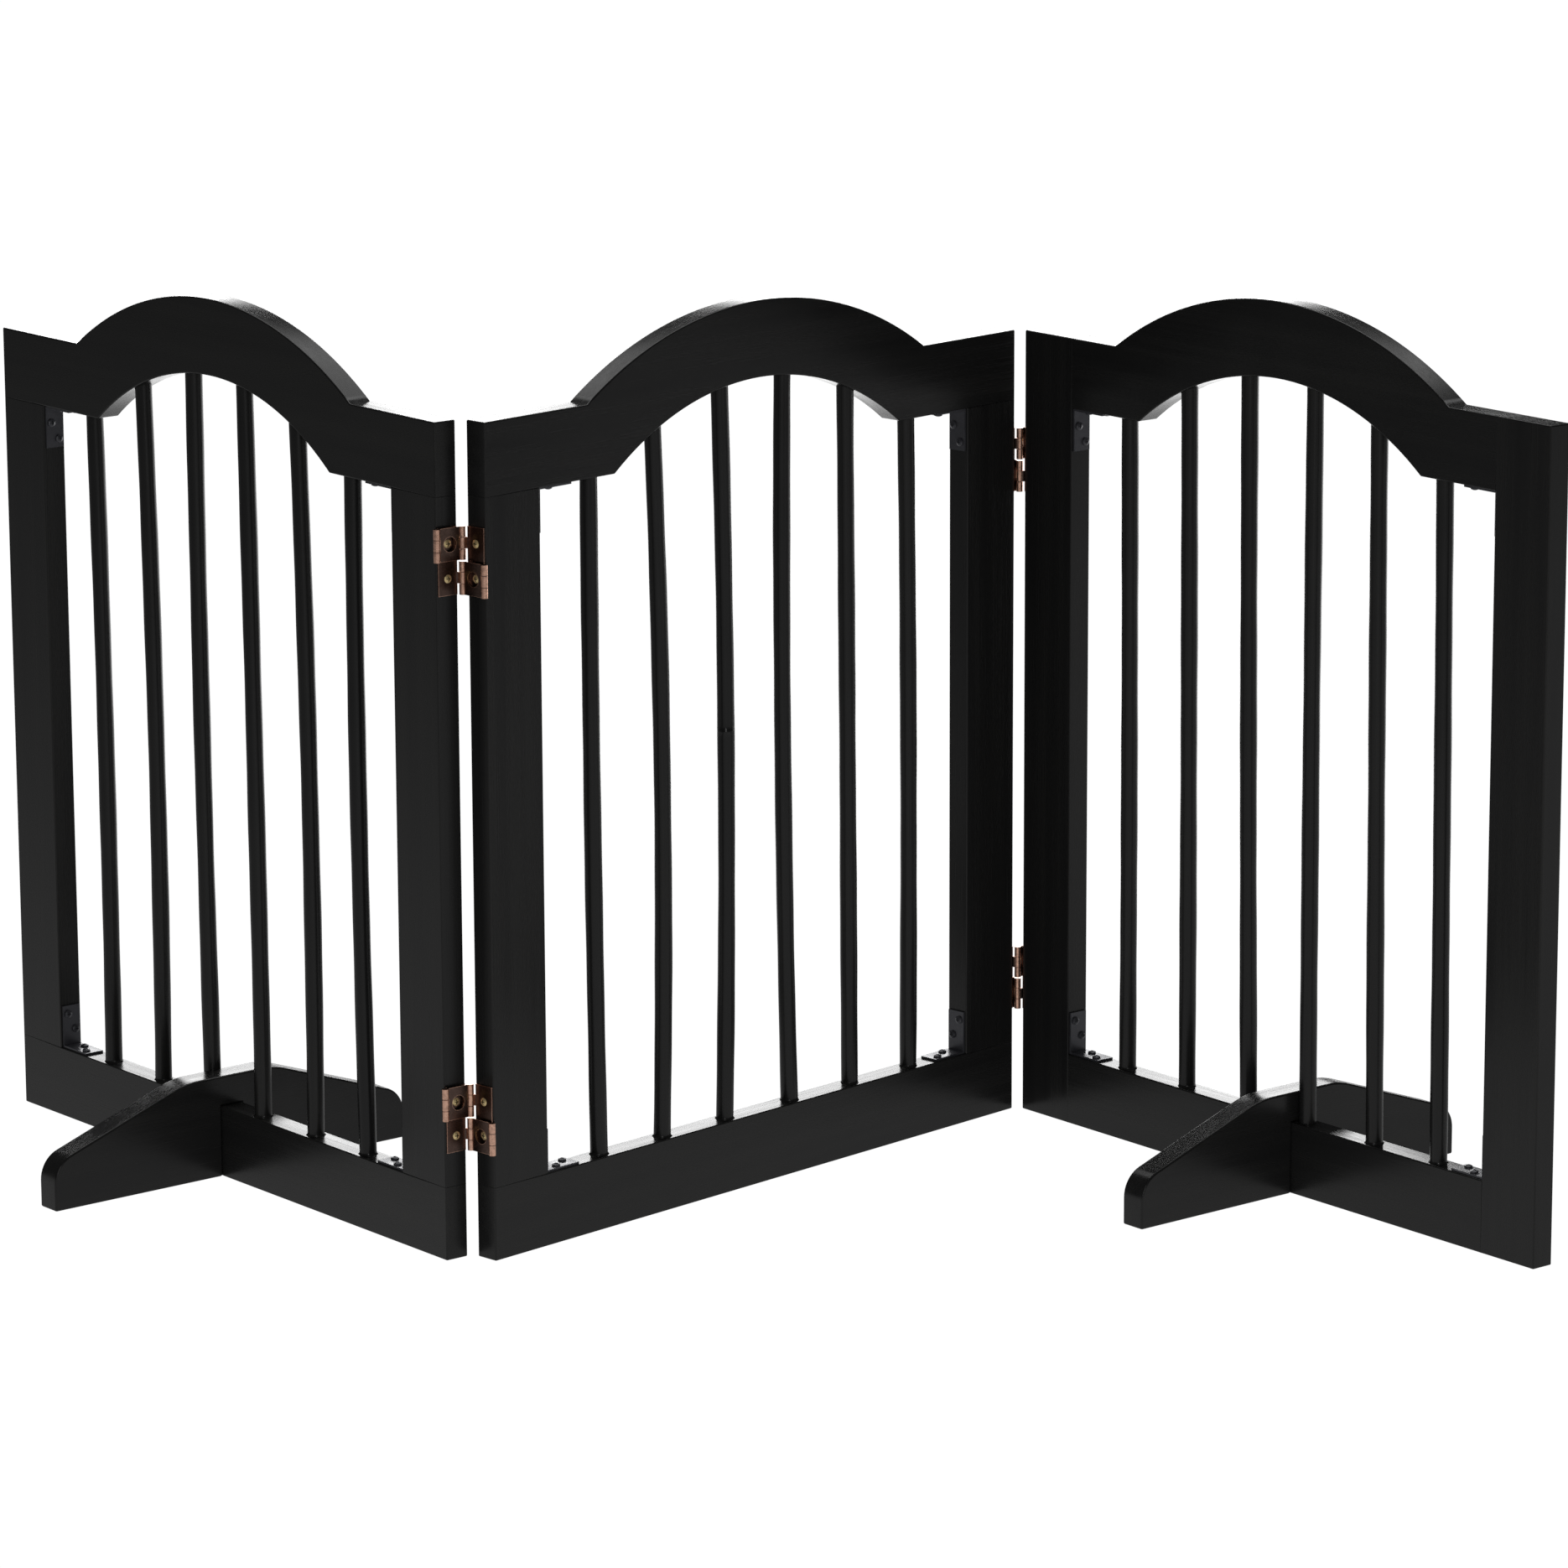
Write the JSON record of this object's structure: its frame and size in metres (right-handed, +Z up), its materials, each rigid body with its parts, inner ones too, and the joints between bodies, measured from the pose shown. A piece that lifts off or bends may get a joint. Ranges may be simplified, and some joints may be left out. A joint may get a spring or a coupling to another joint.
{
  "type": "pet gate",
  "caption": "Freestanding folding pet gate of arched barred wood panels on double-action hinges, with lift-off cross feet.",
  "frame": {"origin": "on the floor, under the centre of the middle panel's bottom rail, at mid thickness", "axes": "+Z up, +X along the middle panel, -Y out of its front; the left panel folds back towards +Y and the right one forward towards -Y"},
  "size_m": [0.7576, 1.0434, 0.61],
  "materials": {
    "painted_wood": "satin black paint over wood",
    "bracket_steel": "black coated steel",
    "hinge_metal": "antique bronze plate, worn bright along edges",
    "hinge_screw_brass": "yellow brass plate"
  },
  "bodies": {
    "middle_panel": {"middle_panel_top_rail": "painted_wood", "middle_panel_bottom_rail": "painted_wood", "middle_panel_left_stile": "painted_wood", "middle_panel_right_stile": "painted_wood", "middle_panel_bar_1": "painted_wood", "middle_panel_bar_2": "painted_wood", "middle_panel_bar_3": "painted_wood", "middle_panel_bar_4": "painted_wood", "middle_panel_bar_5": "painted_wood", "middle_panel_bar_6": "painted_wood", "middle_panel_corner_brackets": "bracket_steel", "middle_panel_bracket_screws": "bracket_steel", "left_upper_hinge_leaf_b": "hinge_metal", "left_upper_hinge_link_bottom": "hinge_metal", "left_lower_hinge_leaf_b": "hinge_metal", "left_lower_hinge_link_bottom": "hinge_metal", "right_upper_hinge_leaf_a": "hinge_metal", "right_upper_hinge_link_bottom": "hinge_metal", "right_lower_hinge_leaf_a": "hinge_metal", "right_lower_hinge_link_bottom": "hinge_metal", "middle_panel_hinge_pins": "hinge_metal", "middle_panel_hinge_screws": "hinge_screw_brass"},
    "left_panel": {"left_panel_top_rail": "painted_wood", "left_panel_bottom_rail": "painted_wood", "left_panel_left_stile": "painted_wood", "left_panel_right_stile": "painted_wood", "left_panel_bar_1": "painted_wood", "left_panel_bar_2": "painted_wood", "left_panel_bar_3": "painted_wood", "left_panel_bar_4": "painted_wood", "left_panel_bar_5": "painted_wood", "left_panel_bar_6": "painted_wood", "left_panel_corner_brackets": "bracket_steel", "left_panel_bracket_screws": "bracket_steel", "left_upper_hinge_leaf_a": "hinge_metal", "left_upper_hinge_link_top": "hinge_metal", "left_lower_hinge_leaf_a": "hinge_metal", "left_lower_hinge_link_top": "hinge_metal", "left_panel_hinge_pins": "hinge_metal", "left_panel_hinge_screws": "hinge_screw_brass"},
    "right_panel": {"right_panel_top_rail": "painted_wood", "right_panel_bottom_rail": "painted_wood", "right_panel_left_stile": "painted_wood", "right_panel_right_stile": "painted_wood", "right_panel_bar_1": "painted_wood", "right_panel_bar_2": "painted_wood", "right_panel_bar_3": "painted_wood", "right_panel_bar_4": "painted_wood", "right_panel_bar_5": "painted_wood", "right_panel_bar_6": "painted_wood", "right_panel_corner_brackets": "bracket_steel", "right_panel_bracket_screws": "bracket_steel", "right_upper_hinge_leaf_b": "hinge_metal", "right_upper_hinge_link_top": "hinge_metal", "right_lower_hinge_leaf_b": "hinge_metal", "right_lower_hinge_link_top": "hinge_metal", "right_panel_hinge_pins": "hinge_metal", "right_panel_hinge_screws": "hinge_screw_brass"},
    "left_foot": {"left_foot": "painted_wood"},
    "right_foot": {"right_foot": "painted_wood"}
  },
  "joints": [
    {"name": "left_fold", "type": "hinge", "parent": "middle_panel", "child": "left_panel", "pos_m": [-0.2584, 0.0101, 0], "axis": [0, 0, -1], "range_deg": [-97.3, 50]},
    {"name": "right_fold", "type": "hinge", "parent": "middle_panel", "child": "right_panel", "pos_m": [0.2584, -0.0101, 0], "axis": [0, 0, -1], "range_deg": [-97.3, 50]},
    {"name": "left_foot_lift", "type": "slide", "parent": "left_panel", "child": "left_foot", "axis": [0, 0, 1], "range_m": [0, 0.055]},
    {"name": "right_foot_lift", "type": "slide", "parent": "right_panel", "child": "right_foot", "axis": [0, 0, 1], "range_m": [0, 0.055]}
  ]
}
